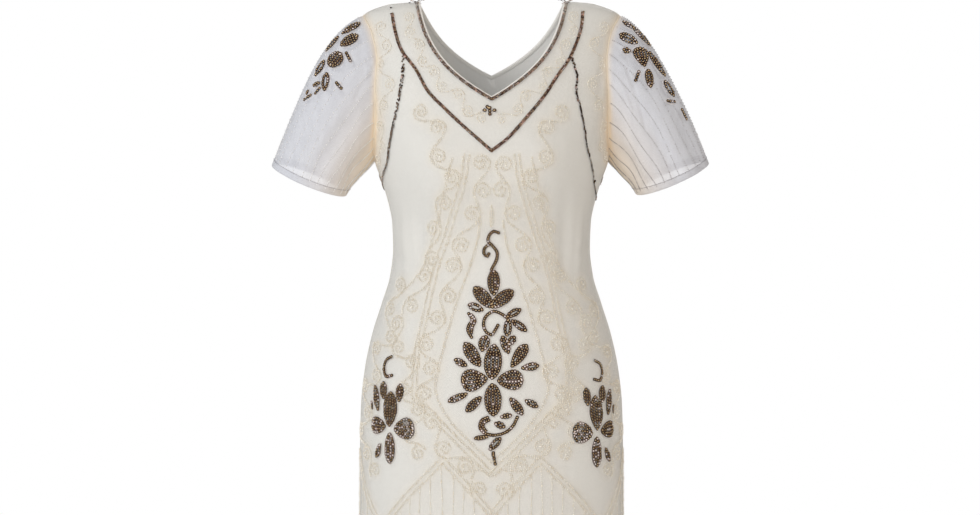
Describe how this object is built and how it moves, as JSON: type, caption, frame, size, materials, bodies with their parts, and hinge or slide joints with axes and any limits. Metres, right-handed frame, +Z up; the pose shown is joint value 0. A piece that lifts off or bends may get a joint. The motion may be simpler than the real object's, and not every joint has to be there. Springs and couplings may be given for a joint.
{
  "type": "flapper dress",
  "caption": "Hollow, worn-form 1920s style evening dress with a V neck, short sheer sleeves and a beaded net shell over a satin lining.",
  "frame": {"origin": "between the shoulder seams, level with the neck points, where the wearer's shoulders hold the dress", "axes": "+Z up along the dress's length, the front faces -Y, the wearer's left side is +X"},
  "size_m": [0.6535, 0.2659, 1],
  "materials": {
    "beaded_net": "cream net with beads",
    "lining_satin": "soft satin",
    "sheer_net": "sheer net",
    "band_net": "doubled sheer net",
    "binding": "cream binding"
  },
  "bodies": {
    "root": {"net_front": "beaded_net", "net_back": "beaded_net", "lining_front": "lining_satin", "lining_back": "lining_satin", "sleeve_left": "sheer_net", "sleeve_right": "sheer_net", "sleeve_band_left": "band_net", "sleeve_band_right": "band_net", "neck_binding": "binding"}
  },
  "joints": []
}
